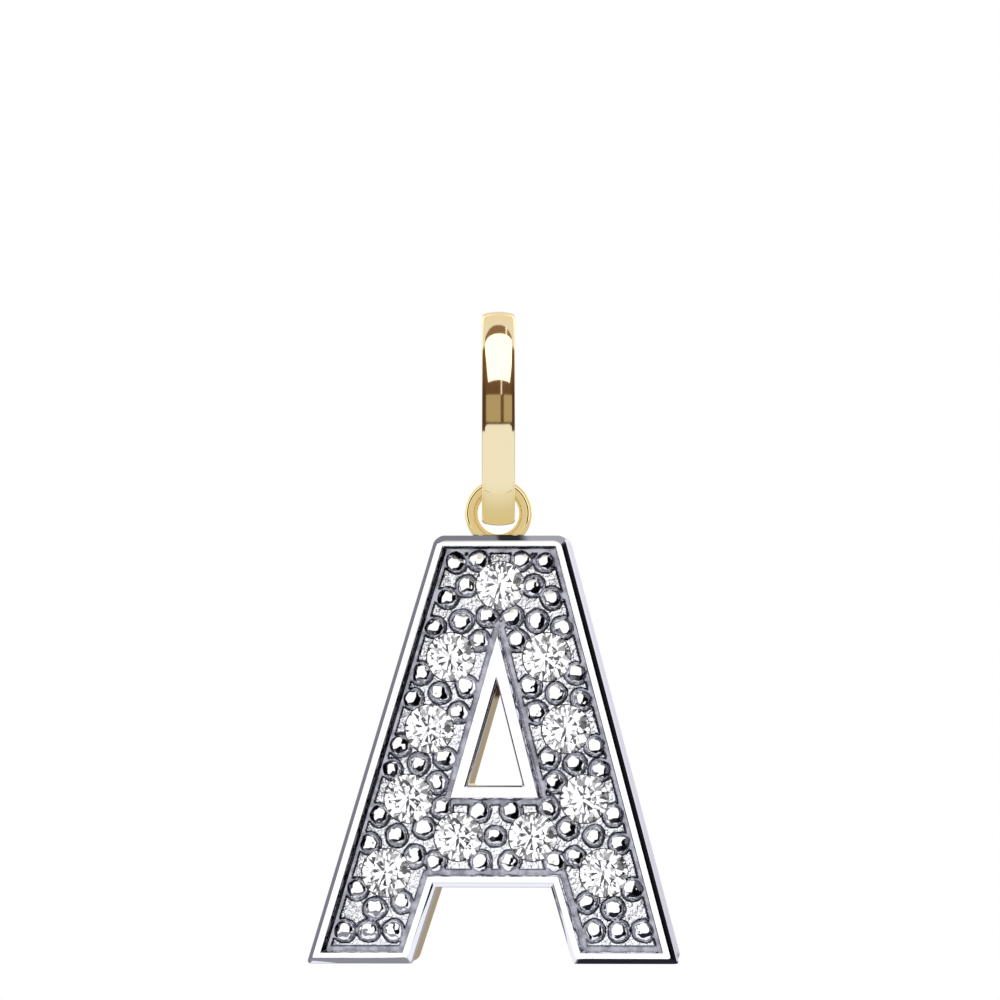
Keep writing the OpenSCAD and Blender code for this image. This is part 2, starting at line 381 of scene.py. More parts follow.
def place_on_letter():
    """The matrix from the letter's flat frame to the place where it hangs."""
    drop = LETTER_FOOT + sizes().height
    hanging = Euler((math.radians(90), 0, sizes().turn)).to_matrix().to_4x4()
    return Matrix.Translation((0, 0, drop)) @ hanging


def hang_up(piece):
    """Puts a piece that was modelled flat in its hanging place, and applies that to its mesh."""
    piece.matrix_world = place_on_letter()
    settle(piece)


def dress(piece, material, body, slot, *nodes):
    """Gives a finished piece its material and body, and hides the nodes that it stands for. The slot
    is not used.
    """
    piece.data.materials.clear()
    piece.data.materials.append(material)
    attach(piece, body)
    if nodes:
        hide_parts(*nodes)


def faces_of(piece, test):
    return [face.index for face in piece.data.polygons if test(face)]


def patch(piece, material, faces):
    """Puts a second material on some faces of a dressed piece."""
    piece.data.materials.append(material)
    for index in faces:
        piece.data.polygons[index].material_index = 1


def stone_centres():
    """The middle of each stone's girdle, flat on the letter, by the name of its node."""
    to_flat = place_on_letter().inverted()
    centres = {}
    for name in STONES:
        points = [to_flat @ vertex.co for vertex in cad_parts[name].data.vertices]
        low, high = (Vector(edge(p[k] for p in points) for k in range(2)) for edge in (min, max))
        centres[name] = ((low + high) / 2).to_3d()
    return centres


# The right half's grains: degrees clockwise from a stone's top, and rows as shares of the letter's
# height, with places as shares of its half width or, at the feet, of the reach to a grain
TOP_GRAINS = (40, 91, 158)
LEG_GRAINS = (45, 135, 225, 315)
BAR_GRAINS = (29, 138, 223, 320)
SIDE_GRAINS = ((0.62, 0.061), (0.64, 0.146))
FOOT_ROW, FOOT_GRAINS = 0.923, (-0.75, 0, 0.72)
MIDDLE_ROW = 0.702
# How far a grain reaches over the girdle that it holds
GRIP = 0.03 * MM


def grain_places():
    """The grains' centres: round each stone, between the leg stones, and in the corners."""
    height = sizes().height
    reach = (sizes().stone + sizes().grain) / 2 - GRIP
    lean = math.atan((sizes().foot_width - sizes().top_width) / 2 / height)
    centres = stone_centres()

    def round_stone(centre, side, angles, turned=0.0):
        for angle in angles:
            way = math.radians(angle) - turned
            yield centre + reach * Vector((side * math.sin(way), math.cos(way), 0))

    places = [at(0, MIDDLE_ROW * height)]
    for side, name in ((-1, "left"), (1, "right")):
        leg = [centres[f"stone_{name}_{k}"] for k in range(1, 5)]
        step = (leg[3] - leg[0]) / 6
        places += round_stone(centres["stone_top"], side, TOP_GRAINS)
        places += round_stone(centres[f"stone_bar_{name}"], side, BAR_GRAINS)
        for centre in leg:
            places += round_stone(centre, side, LEG_GRAINS, lean)
        places += [(above + below) / 2 for above, below in zip(leg, leg[1:])]
        places += [leg[0] - step, leg[3] + step]
        for share, row in SIDE_GRAINS:
            places.append(at(side * share * half_width(row * height), row * height))
        foot = leg[3] + (leg[3] - leg[0]) * (FOOT_ROW * height + leg[3].y) / (leg[0].y - leg[3].y)
        places += [foot + Vector((side * share * reach, 0, 0)) for share in FOOT_GRAINS]
    return places


class Value:
    """A shader socket whose values can be worked out as Python expressions."""

    def __init__(self, nodes, socket):
        self.nodes = nodes
        self.socket = socket

    def _maths(self, operation, *inputs):
        return self.nodes.value("ShaderNodeMath", {"operation": operation}, dict(enumerate(inputs)))

    def __add__(self, other):
        return self._maths("ADD", self, other)

    __radd__ = __add__

    def __sub__(self, other):
        return self._maths("SUBTRACT", self, other)

    def __rsub__(self, other):
        return self._maths("SUBTRACT", other, self)

    def __mul__(self, other):
        return self._maths("MULTIPLY", self, other)

    __rmul__ = __mul__

    def __truediv__(self, other):
        return self._maths("DIVIDE", self, other)

    def __pow__(self, other):
        return self._maths("POWER", self, other)

    def __abs__(self):
        return self._maths("ABSOLUTE", self)

    def above(self, low):
        """How far the value is above a lowest one, or else 0."""
        return self._maths("MAXIMUM", self - low, 0.0)


class Nodes:
    """A node tree, with one method that adds any node to it."""

    def __init__(self, tree):
        self.tree = tree

    def node(self, kind, settings=None, inputs=None):
        node = self.tree.nodes.new(kind)
        for name, setting in (settings or {}).items():
            setattr(node, name, setting)
        self.feed(node, inputs or {})
        return node

    def value(self, kind, settings=None, inputs=None, output=0):
        return Value(self, self.node(kind, settings, inputs).outputs[output])

    def feed(self, node, inputs):
        """Sets a node's sockets to plain values, or links them to worked-out ones."""
        for name, source in inputs.items():
            if isinstance(source, Value):
                self.tree.links.new(source.socket, node.inputs[name])
            else:
                node.inputs[name].default_value = source

    def mix(self, factor, first, second):
        """A colour between two, from the first at 0 to the second at 1."""
        inputs = {0: factor}
        for socket, colour in ((6, first), (7, second)):
            inputs[socket] = colour if isinstance(colour, Value) else rgba(colour)
        return self.value("ShaderNodeMix", {"data_type": "RGBA"}, inputs, output=2)

    def parts(self, vector):
        """The x, y and z of a vector."""
        split = self.node("ShaderNodeSeparateXYZ", inputs={0: vector})
        return [Value(self, split.outputs[k]) for k in range(3)]

    def step(self, value, low, high):
        """A smooth step from 0 to 1 while a value goes from low to high."""
        settings = {"interpolation_type": "SMOOTHSTEP"}
        return self.value("ShaderNodeMapRange", settings, {0: value, 1: low, 2: high, 3: 0.0, 4: 1.0})

    def over(self, value, edge, blur):
        """A step from 0 to 1 where a value passes an edge, blurred to both sides."""
        return self.step(value - edge, -blur, blur)

    def between(self, value, low, high, blur):
        """1 between two edges and 0 beyond them, blurred at both."""
        return self.over(value, low, blur) * (1 - self.over(value, high, blur))


class Finish(Nodes):
    """A material, with its shader and its place on the piece."""

    def __init__(self, name):
        self.material = bpy.data.materials.new(name)
        self.material.use_nodes = True
        super().__init__(self.material.node_tree)
        self.shader = self.tree.nodes["Principled BSDF"]
        self.place = self.value("ShaderNodeTexCoord", output="Object")

    def noise(self, size, detail):
        """Soft noise from 0 to 1, with features of about the given size."""
        inputs = {"Vector": self.place, "Scale": 1 / size, "Detail": detail}
        return self.value("ShaderNodeTexNoise", inputs=inputs)

    def bump(self, height, depth):
        """A normal from heights of 0 to 1 that stand for a real depth."""
        inputs = {"Height": height, "Distance": depth, "Strength": 1.0}
        return self.value("ShaderNodeBump", inputs=inputs, output="Normal")

    def level(self):
        """The height towards the letter's front, from the middle of its thickness."""
        inputs = {0: self.place, 1: place_on_letter().to_3x3() @ Vector((0, 0, 1))}
        settings = {"operation": "DOT_PRODUCT"}
        return self.value("ShaderNodeVectorMath", settings, inputs, output="Value")

    def shine(self, colour):
        """Makes the surface shine with a colour, and mirror nothing."""
        self.feed(self.shader, {
            "Base Color": rgba(BLACK),
            "Specular IOR Level": 0.0,
            "Roughness": 1.0,
            "Emission Color": colour,
            "Emission Strength": 1.0,
        })


BLACK, WHITE = (0.0, 0.0, 0.0), (1.0, 1.0, 1.0)
COOL_WHITE = (0.96, 0.96, 1.06)
# The metals' colours at grazing angles; a darker tone painted on the loop hole's rounded edge to match
# the flat face's reflection; and painted shade in the counter's apex and on the field's walls
GOLD_EDGE = (1.0, 0.86, 0.6)
HOLE_EDGE_PAINTED_REFLECTION, HOLE_EDGE_ROUGHNESS = (0.83, 0.64, 0.31), 0.5
APEX_PAINTED_SHADE = (0.32, 0.11, 0.04)
WALL_PAINTED_SHADE, WALL_ROUGHNESS = (0.1, 0.1, 0.12), 0.08
# Painted shade that greys the field's troughs
TROUGH_PAINTED_SHADE = (0.22, 0.22, 0.25)
# Roughness of polished metal, and what wiping marks add to it
POLISH, MARKS = 0.05, 0.05
MARK_SIZE = 0.12 * MM
WAVE_LENGTH = 0.9 * MM
GOLD_WAVES, WHITE_WAVES = 0.004 * MM, 0.006 * MM
# Depths below the field under which its troughs carry full painted shade, and above which it is all
# bright
TROUGH_START, TROUGH_END = 0.07 * MM, 0.02 * MM
TROUGH_ROUGHNESS, TOP_ROUGHNESS = 0.14, 0.1
SCRATCH_SIZE, SCRATCH_DEPTH = 0.09 * MM, 0.07 * MM
# The size and range of the noise that mottles the troughs' painted shade, and its lighter tone
SHADE_SIZE = 0.35 * MM
SHADE_RANGE = (0.35, 0.65)
LIGHTER_TROUGH_SHADE = tuple(1.8 * part for part in TROUGH_PAINTED_SHADE)
STONE_IOR = 2.42


def rgba(colour):
    return (*colour, 1.0)


def polished_metal(name, colour, edge_colour, roughness, wave_depth):
    """A polished metal with faint waves, and wiping marks that change its gloss a little."""
    finish = Finish(name)
    waves = finish.noise(WAVE_LENGTH, detail=1.0)
    marks = finish.noise(MARK_SIZE, detail=3.0)
    finish.feed(finish.shader, {
        "Base Color": rgba(colour),
        "Specular Tint": rgba(edge_colour),
        "Metallic": 1.0,
        "Roughness": roughness + MARKS * marks,
        "Normal": finish.bump(waves, wave_depth),
    })
    return finish


def metal(kind, context):
    """The gold or the white metal, made once."""
    colours = context.scene.pendant_colours
    name, *look = {
        "gold": ("yellow_gold", colours.gold, GOLD_EDGE, POLISH, GOLD_WAVES),
        "white": ("white_plating", colours.white, WHITE, POLISH, WHITE_WAVES),
    }[kind]
    if name in bpy.data.materials:
        return bpy.data.materials[name]
    return polished_metal(name, *look).material


def grained_field(context):
    """The white plating of the field: rough and bright on top, smooth down in its troughs, where
    painted shade greys it in mottled patches.
    """
    finish = Finish("grained_plating_with_painted_shade")
    top = levels()[1]
    raised = finish.step(finish.level(), top - TROUGH_START, top - TROUGH_END)
    scratches = finish.noise(SCRATCH_SIZE, detail=2.0)
    shade = finish.step(finish.noise(SHADE_SIZE, detail=2.0), *SHADE_RANGE)
    # Painted shade in the troughs, mottled lighter and darker
    troughs = finish.mix(shade, TROUGH_PAINTED_SHADE, LIGHTER_TROUGH_SHADE)
    finish.feed(finish.shader, {
        "Base Color": finish.mix(raised, troughs, context.scene.pendant_colours.white),
        "Metallic": 1.0,
        "Roughness": TROUGH_ROUGHNESS - (TROUGH_ROUGHNESS - TOP_ROUGHNESS) * raised,
        "Normal": finish.bump(scratches * (0.1 + 0.9 * raised), SCRATCH_DEPTH),
    })
    return finish.material


def clear_stone(context):
    finish = Finish("clear_stone")
    finish.feed(finish.shader, {
        "Base Color": rgba(context.scene.pendant_colours.stone),
        "Roughness": 0.0,
        "IOR": STONE_IOR,
        "Transmission Weight": 1.0,
    })
    return finish.material


# Points round the whole circle that gives the band's dome. They are few, so that each side stays
# longer than the shoulder's rounding, which can't pass a point.
DOME_POINTS = 72
BAND_SHOULDER = 0.085 * MM
BAND_STEPS, LOOP_STEPS, EDGE_STEPS = 224, 128, 6
# Degrees up to which edges are shaded smooth
RING_SMOOTH, BODY_SMOOTH, FRONT_SMOOTH = 60, 35, 50


class PENDANT_OT_bail(bpy.types.Operator):
    """Spins the bail's domed band"""

    bl_idname = "pendant.bail"
    bl_label = "Bail"

    def execute(self, context):
        bail = context.scene.pendant_bail
        half, outer, radius = bail.width / 2, bail.diameter / 2, dome_radius()
        inner = outer - bail.thickness
        bpy.ops.mesh.primitive_circle_add(
            vertices=DOME_POINTS, radius=radius, fill_type="NGON", location=(0, outer - radius, 0)
        )
        band = added("bail_band")
        settle(band)
        edit(band)
        trim(rectangle(-half, half, inner, outer * 2))
        round_points(lambda point: abs(point.co.y - inner) < WELD, bail.edge)
        round_points(
            lambda point: abs(abs(point.co.x) - half) < WELD and point.co.y > (inner + outer) / 2,
            BAND_SHOULDER,
        )
        spin_round(band, BAND_STEPS, (1, 0, 0), Matrix.Translation(BAIL_MIDDLE))
        smooth(band, RING_SMOOTH)
        dress(band, metal("gold", context), "bail", "gold", "bail")
        return {"FINISHED"}


# Thickness of the white front behind its field
PLATED = 0.14 * MM
# The cups that line the stones' seats: their wall, their bottom and their top below the field
CUP_WALL = 0.1 * MM
CUP_LOW, CUP_DROP = -0.2 * MM, 0.12 * MM
# The stones' seats: the gap round a stone, its depth, and shares of its diameter
SEAT_GAP = 0.02 * MM
STONE_SINK = 0.06 * MM
GIRDLE_SHARE, PAVILION_SHARE = 0.03, 0.43
LIGHT_HOLE = 0.6 * MM
SEAT_POINTS = 64


def round_stones(name, radius, low, high):
    """Straight cylinders under all the stones, joined in one piece."""
    pieces = []
    for centre in stone_centres().values():
        bpy.ops.mesh.primitive_cylinder_add(
            vertices=SEAT_POINTS, radius=radius, depth=high - low,
            location=(centre.x, centre.y, (low + high) / 2),
        )
        pieces.append(added(name))
        settle(pieces[-1])
    piece = joined(pieces)
    piece.name = name
    return piece


def cups(name, high):
    """The white cups that line the seats of the stones."""
    return round_stones(name, sizes().stone / 2 + SEAT_GAP + CUP_WALL, CUP_LOW, high)


def push_down(piece, depth):
    """Draws the faces of a piece that look straight down further down."""
    edit(piece)
    pick("FACE", lambda face: face.normal.z < -LEVEL)
    bpy.ops.mesh.extrude_region_move(TRANSFORM_OT_translate={"value": (0, 0, -depth)})
    done()


def gather_round(piece, centres, below, scale):
    """Draws the points of a piece that lie below a level in towards the nearest of the centres."""
    for vertex in piece.data.vertices:
        if vertex.co.z < below:
            centre = min(centres, key=lambda c: (c - vertex.co).to_2d().length)
            vertex.co.x = centre.x + (vertex.co.x - centre.x) * scale
            vertex.co.y = centre.y + (vertex.co.y - centre.y) * scale


def seat_cutter():
    """What the stones sit in: straight mouths over cones that fit round the pavilions."""
    field, back = levels()[1:]
    stone = sizes().stone
    mouth = stone / 2 + SEAT_GAP
    shoulder = field - STONE_SINK - GIRDLE_SHARE * stone
    depth = PAVILION_SHARE * stone * (mouth - LIGHT_HOLE / 2) / (stone / 2)
    cutter = round_stones("seats", mouth, shoulder, field + STIPPLE_DEPTH)
    push_down(cutter, depth)
    gather_round(cutter, stone_centres().values(), shoulder - depth / 2, LIGHT_HOLE / 2 / mouth)
    push_down(cutter, shoulder - back)
    edit(cutter)
    close_up()
    return cutter


# How far the body stands back from the front's outline and notch
BODY_STEP, NOTCH_STEP = 0.06 * MM, 0.01 * MM
# Radii of the body's corners: the outer feet, the feet at the notch, and the top
BODY_RADII = (0.34 * MM, 0.34 * MM, 0.22 * MM, 0.22 * MM, 0.22 * MM, 0.22 * MM)
# Radii of the counter's corners: its base, and its apex behind the rim
COUNTER_RADII = (0.12 * MM, 0.12 * MM, 0.16 * MM)
# Reach from a corner to its upright edges, where it is sharp and where it is bevelled
SHARP_REACH, BEVELLED_REACH = 0.01 * MM, 0.16 * MM
CORNER_STEPS = 8
# Depth of the plated skin on the outer sides
SIDE_SKIN = 0.3 * MM
LOOP_OUTER_EDGE, LOOP_HOLE_EDGE = 0.14 * MM, 0.12 * MM
# Width of the loop hole's rounded edge that gets the rougher gold with its painted darker tone
HOLE_EDGE_WIDTH = 0.13 * MM
# Spans up from the counter's apex, and forward from the back, over which painted shade darkens the
# gold to brown
APEX_SHADE_START, APEX_SHADE_END, APEX_SHADE_TOP = -0.62 * MM, -0.42 * MM, 0.2 * MM
BACK_START, BACK_END = -0.85 * MM, -0.7 * MM


def upright_near(corner, reach):
    """A test for the upright edges of a slab that stand near a corner."""
    def test(edge):
        low, high = (vertex.co for vertex in edge.verts)
        upright = (high - low).to_2d().length < abs(high.z - low.z) * 2
        return upright and ((low + high) / 2 - corner).to_2d().length < reach
    return test


def round_corners(corners, radii, reach=SHARP_REACH):
    """Rounds the upright edges of the edited slab at its corners."""
    for corner, radius in zip(corners, radii):
        pick("EDGE", upright_near(corner, reach))
        bpy.ops.mesh.bevel(
            offset=radius, segments=CORNER_STEPS, affect="EDGES", clamp_overlap=False
        )


def body_feet(step, notch_step):
    """The corners at the feet of the letter, moved in by a step."""
    low = sizes().height - step
    outline = moved_in(letter_corners(), step)
    notch = moved_in(notch_corners(), -notch_step)
    feet = [outline[0], outline[1]]
    for bottom, top in ((notch[0], notch[3]), (notch[1], notch[2])):
        share = (-low - bottom.y) / (top.y - bottom.y)
        feet.append(bottom + share * (top - bottom))
    return feet


def counter_cut(radii, low, high):
    """What cuts out the counter, with as many rounded corners as there are radii."""
    cut = slab("counter_cut", counter_corners(), low, high)
    edit(cut)
    round_corners(counter_corners(), radii)
    close_up()
    return cut


class PENDANT_OT_letter_body(bpy.types.Operator):
    """Builds the gold body of the letter, with its loop, counter and light holes"""

    bl_idname = "pendant.letter_body"
    bl_label = "Gold body"

    def execute(self, context):
        front, field, back = levels()
        outline = moved_in(letter_corners(), BODY_STEP)
        notch = moved_in(notch_corners(), -NOTCH_STEP)
        body = slab("letter_body", outline, back, field - PLATED, notch)
        edit(body)
        round_corners(body_feet(BODY_STEP, NOTCH_STEP) + outline[2:], BODY_RADII)
        close_up()
        counter = counter_cut(COUNTER_RADII, back - OVERSHOOT, front + OVERSHOOT)
        light_holes = round_stones("light_holes", LIGHT_HOLE / 2, back - OVERSHOOT, 0)
        combine(body, "DIFFERENCE", counter, cups("cup_room", front), light_holes)
        smooth(body, BODY_SMOOTH)
        outer = faces_of(body, self.on_outer_side)
        hang_up(body)
        dress(body, self.gold_with_apex_shade(context), "letter", "gold", "letter")
        patch(body, metal("white", context), outer)
        loop = self.loop()
        hole_edge_faces = faces_of(loop, self.on_hole_edge)
        dress(loop, metal("gold", context), "letter", "gold", "letter")
        # Rougher gold blurs the mirrored rings on the hole's edge; its darker tone is painted to match
        # the flat face's reflection
        finish = polished_metal("hole_edge_painted_reflection", HOLE_EDGE_PAINTED_REFLECTION, GOLD_EDGE, HOLE_EDGE_ROUGHNESS, 0.0)
        patch(loop, finish.material, hole_edge_faces)
        return {"FINISHED"}

    def gold_with_apex_shade(self, context):
        """The gold, with painted shade that darkens it to brown in the counter's apex, in place of the
        dark its mirrored walls give it.
        """
        gold = context.scene.pendant_colours.gold
        finish = polished_metal("gold_with_apex_shade", gold, GOLD_EDGE, POLISH, GOLD_WAVES)
        # Painted shade in the counter's apex, faded out towards the back
        apex = (place_on_letter() @ counter_corners()[2]).z
        height = finish.parts(finish.place)[2]
        apex_shade = finish.step(height, apex + APEX_SHADE_START, apex + APEX_SHADE_END)
        apex_shade = apex_shade * (1 - finish.step(height, apex, apex + APEX_SHADE_TOP))
        apex_shade = apex_shade * finish.step(finish.level(), BACK_START, BACK_END)
        finish.feed(finish.shader, {
            "Base Color": finish.mix(apex_shade, gold, APEX_PAINTED_SHADE),
            "Metallic": 1 - 0.9 * apex_shade,
            "Specular IOR Level": 0.0,
        })
        return finish.material

    def on_outer_side(self, face):
        """Whether a face is on the outside of a leg, where the white plating goes to the back."""
        across, drop = face.center.x - middle(-face.center.y), -face.center.y
        return abs(face.normal.x) > 0.5 and abs(across) > half_width(drop) - SIDE_SKIN

    def on_hole_edge(self, face):
        """Whether a face of the loop is on the rounded edge of its hole, which gets rougher gold with
        a darker tone painted to match the flat face's reflection.
        """
        return (face.center - Vector((0, 0, loop_middle()))).length < sizes().loop_hole + HOLE_EDGE_WIDTH

    def loop(self):
        """The flat-faced loop, with rounded edges, spun about its middle."""
        letter = sizes()
        hole, half = letter.loop_hole, letter.loop_thickness / 2
        outer = hole + letter.loop_width
        ring = sheet("loop", rectangle(hole, outer, -half, half))
        round_points(lambda point: point.co.x > (hole + outer) / 2, LOOP_OUTER_EDGE)
        round_points(lambda point: point.co.x < hole + WELD, LOOP_HOLE_EDGE)
        turn = Matrix.Rotation(letter.turn, 4, "Z")
        spin_round(ring, LOOP_STEPS, (0, 1, 0), Matrix.Translation((0, 0, loop_middle())) @ turn)
        smooth(ring, BODY_SMOOTH)
        modify(ring, "Flat faces", "WEIGHTED_NORMAL")
        return ring


# How far the rims' inner walls lean, and the rounding of the rims' edges
DRAFT = 0.1 * MM
RIM_EDGE = 0.02 * MM
COUNTER_BEVEL = 0.07 * MM
TOP_RADII = (0.24 * MM, 0.24 * MM)
FEET_RADII = (0.1 * MM, 0.1 * MM, 0.06 * MM, 0.06 * MM)
# Overlap of pieces that are joined or cut later
OVERLAP = 0.01 * MM
# The field's walls: their drop below the front, tilt and area, and how near they are to the
# letter's sides and the counter
WALL_DROP = 0.03 * MM
WALL_TILT = 0.45
WALL_AREA = 0.01 * MM * MM
WALL_REACH = 1 * MM
# The floor's cells, its troughs' reach from grains and rims, their depth, and its stipple
FLOOR_CELL = 0.032 * MM
GRAIN_TROUGH = (0.05 * MM, 0.1 * MM)
RIM_TROUGH = (0.13 * MM, 0.19 * MM)
TROUGH_DEPTH = 0.11 * MM
STIPPLE_SIZE, STIPPLE_DEPTH = 0.13 * MM, 0.09 * MM
# Ranges of the grains' width, height and lean, their depth below the field, and their lumps
GRAIN_SEED = 4
GRAIN_WIDTH, GRAIN_HEIGHT, GRAIN_LEAN = (0.92, 1.06), (0.6, 0.72), (-0.25, 0.25)
GRAIN_ROOT = 0.09 * MM
LUMP_SIZE, LUMP_DEPTH = 0.3 * MM, 0.1 * MM


def step_in(*steps):
    """Insets the edited piece's top face by each width in turn, and moves it up by each height."""
    pick("FACE", lambda face: face.normal.z > LEVEL)
    for width, height in steps:
        bpy.ops.mesh.inset(thickness=width, depth=height)


class PENDANT_OT_letter_front(bpy.types.Operator):
    """Builds the white front: rims, grained field and the grains that hold the stones"""

    bl_idname = "pendant.letter_front"
    bl_label = "White front"

    def execute(self, context):
        front, field, back = levels()
        low = field - PLATED
        grains = self.grains()
        plate = self.rim(low)
        surround = self.counter_rim(low)
        floor = self.floor(low, grains, plate, surround)
        combine(plate, "UNION", surround, cups("cups", field - CUP_DROP), grains)
        counter = counter_cut(COUNTER_RADII[:2], back, front + OVERSHOOT)
        combine(plate, "DIFFERENCE", counter, seat_cutter())
        combine(floor, "DIFFERENCE", seat_cutter())
        walls = faces_of(plate, self.on_inner_wall)
        for piece, material in ((plate, metal("white", context)), (floor, grained_field(context))):
            smooth(piece, FRONT_SMOOTH)
            hang_up(piece)
            dress(piece, material, "letter", "white_metal", "letter")
        # Painted shade: the field's inner walls get a dark plating colour in place of the shade that
        # falls on them
        shaded = polished_metal("wall_painted_shade", WALL_PAINTED_SHADE, WHITE, WALL_ROUGHNESS, WHITE_WAVES)
        patch(plate, shaded.material, walls)
        return {"FINISHED"}

    def on_inner_wall(self, face):
        """Whether a face is part of the wall round the field, which stands in its own shade."""
        front, field = levels()[:2]
        place, way = face.center, face.normal
        upright = field < place.z < front - WALL_DROP and abs(way.z) <= WALL_TILT
        if not upright or face.area < WALL_AREA:
            return False
        if inside(place, moved_in(counter_corners(), -WALL_REACH)):
            return False
        across = place.x - middle(-place.y)
        beside = abs(across) > half_width(-place.y) - WALL_REACH
        return (way.x * across < 0 and beside) or way.y < -LEVEL

    def rim(self, low):
        """The outer rim, raised round a pocket: bevel, flat and drafted wall."""
        letter = sizes()
        front = levels()[0]
        plate = slab("letter_front", letter_corners(), low, front - letter.bevel, notch_corners())
        edit(plate)
        pocket = letter.field_depth + PLATED - OVERLAP
        step_in((letter.bevel, letter.bevel), (letter.rim - letter.bevel, 0), (DRAFT, -pocket))
        round_corners(letter_corners()[2:], TOP_RADII, BEVELLED_REACH)
        round_corners(body_feet(0, 0), FEET_RADII, BEVELLED_REACH)
        self.soften_edges(low)
        return plate

    def soften_edges(self, low):
        """Rounds the edited rim's sharp edges a little, all but those at its bottom, and leaves it."""
        pick("EDGE", lambda edge: (
            edge.calc_face_angle(0) > math.radians(25)
            and (edge.verts[0].co.z + edge.verts[1].co.z) / 2 > low + OVERSHOOT
        ))
        bpy.ops.mesh.bevel(offset=RIM_EDGE, segments=2, affect="EDGES")
        close_up()

    def counter_rim(self, low):
        """The rim round the counter, still closed where the counter is cut out later."""
        letter = sizes()
        corners = moved_in(counter_corners(), -letter.counter_rim - DRAFT)
        rim = slab("counter_rim", corners, low, low + 2 * OVERLAP)
        edit(rim)
        rise, bevel = levels()[0] - low - 2 * OVERLAP, 2 * COUNTER_BEVEL
        step_in((DRAFT, rise), (letter.counter_rim - COUNTER_BEVEL, 0), (bevel, -bevel))
        self.soften_edges(low)
        return rim

    def floor(self, low, grains, plate, surround):
        """The field: a finely divided plate, sunk round the grains and stippled between them."""
        letter = sizes()
        front, field = levels()[:2]
        cells = round(SHEET / 2 / FLOOR_CELL)
        bpy.ops.mesh.primitive_grid_add(
            x_subdivisions=cells, y_subdivisions=cells, size=SHEET / 2,
            location=(0, -letter.height / 2, field),
        )
        floor = added("letter_field")
        settle(floor)
        edit(floor)
        trim(moved_in(letter_corners(), letter.rim))
        done()
        rims = self.open_rims(field, plate, surround)
        self.weigh(floor, "open", grains, GRAIN_TROUGH)
        self.weigh(floor, "off_rims", rims, RIM_TROUGH)
        modify(
            floor, "Open floor", "VERTEX_WEIGHT_MIX",
            vertex_group_a="open", vertex_group_b="off_rims", mix_mode="MUL", mix_set="ALL",
        )
        bpy.data.objects.remove(rims)
        modify(
            floor, "Trough", "DISPLACE",
            direction="Z", mid_level=0.0, strength=-TROUGH_DEPTH,
            vertex_group="open", invert_vertex_group=True,
        )
        modify(
            floor, "Stipple", "DISPLACE",
            texture=clouds("stipple", STIPPLE_SIZE, 1), texture_coords="LOCAL",
            direction="Z", mid_level=0.5, strength=STIPPLE_DEPTH, vertex_group="open",
        )
        self.thicken(floor, low + OVERLAP)
        reach = (low - OVERSHOOT, front + OVERSHOOT)
        notch = slab("notch_cut", moved_in(notch_corners(), -letter.rim), *reach)
        counter = slab("floor_cut", moved_in(counter_corners(), -letter.counter_rim), *reach)
        combine(floor, "DIFFERENCE", notch, counter)
        return floor

    def open_rims(self, field, plate, surround):
        """A copy of both rims without the level faces that lie below the field."""
        rims = joined([copy_of(plate), copy_of(surround)])
        edit(rims)
        pick("FACE", lambda face: (
            face.calc_center_median().z < field - PLATED / 2 and abs(face.normal.z) > LEVEL
        ))
        bpy.ops.mesh.delete(type="FACE")
        done()
        return rims

    def weigh(self, floor, group, target, reach):
        """Weighs the floor's points from 0 beside some metal to 1 where they are clear of it."""
        floor.vertex_groups.new(name=group)
        floor.vertex_groups[group].add(range(len(floor.data.vertices)), 1.0, "REPLACE")
        modify(
            floor, "Clear of metal", "VERTEX_WEIGHT_PROXIMITY",
            vertex_group=group, target=target, proximity_mode="GEOMETRY",
            proximity_geometry={"FACE"}, falloff_type="SMOOTH",
            min_dist=reach[0], max_dist=reach[1],
        )

    def thicken(self, floor, level):
        """Draws a sheet down to a level, with one plain face as its underside."""
        edit(floor)
        bpy.ops.mesh.extrude_region_move()
        done()
        for vertex in floor.data.vertices:
            if vertex.select:
                vertex.co.z = level
        edit(floor)
        pick("FACE", lambda face: all(vertex.co.z < level + OVERLAP for vertex in face.verts))
        bpy.ops.mesh.dissolve_faces()
        close_up()

    def grains(self):
        """Pebble-like grains, each with its own slight size, turn and lean."""
        field = levels()[1]
        chance = random.Random(GRAIN_SEED)
        pieces = []
        for place in grain_places():
            bpy.ops.mesh.primitive_ico_sphere_add(subdivisions=4, radius=sizes().grain / 2)
            grain = added("grain")
            grain.scale = [chance.uniform(*span) for span in (GRAIN_WIDTH, GRAIN_WIDTH, GRAIN_HEIGHT)]
            turns = (GRAIN_LEAN, GRAIN_LEAN, (0, math.tau))
            grain.rotation_euler = [chance.uniform(*span) for span in turns]
            grain.location = place + Vector((0, 0, field))
            settle(grain)
            edit(grain)
            bpy.ops.mesh.bisect(
                plane_co=(0, 0, field - GRAIN_ROOT), plane_no=(0, 0, -1),
                clear_outer=True, use_fill=True, threshold=WELD,
            )
            done()
            pieces.append(grain)
        grains = joined(pieces)
        grains.name = "grains"
        modify(
            grains, "Uneven", "DISPLACE",
            texture=clouds("lumps", LUMP_SIZE, 2), texture_coords="LOCAL",
            mid_level=0.5, strength=LUMP_DEPTH,
        )
        return grains


class PENDANT_OT_stones(bpy.types.Operator):
    """Gives the cut stones their clear, brilliant finish"""

    bl_idname = "pendant.stones"
    bl_label = "Stones"

    def execute(self, context):
        clear = clear_stone(context)
        for name in STONES:
            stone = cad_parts[name].data
            stone.materials.clear()
            stone.materials.append(clear)
            for face in stone.polygons:
                face.use_smooth = False
        return {"FINISHED"}


# Shares of the way back over which the white behind the pendant takes over from the domes
BEHIND = (0.5, 0.6)
# The way to the studio's dark side, at the lower right
DARK_WAY = (0.82, -0.25, -0.5)


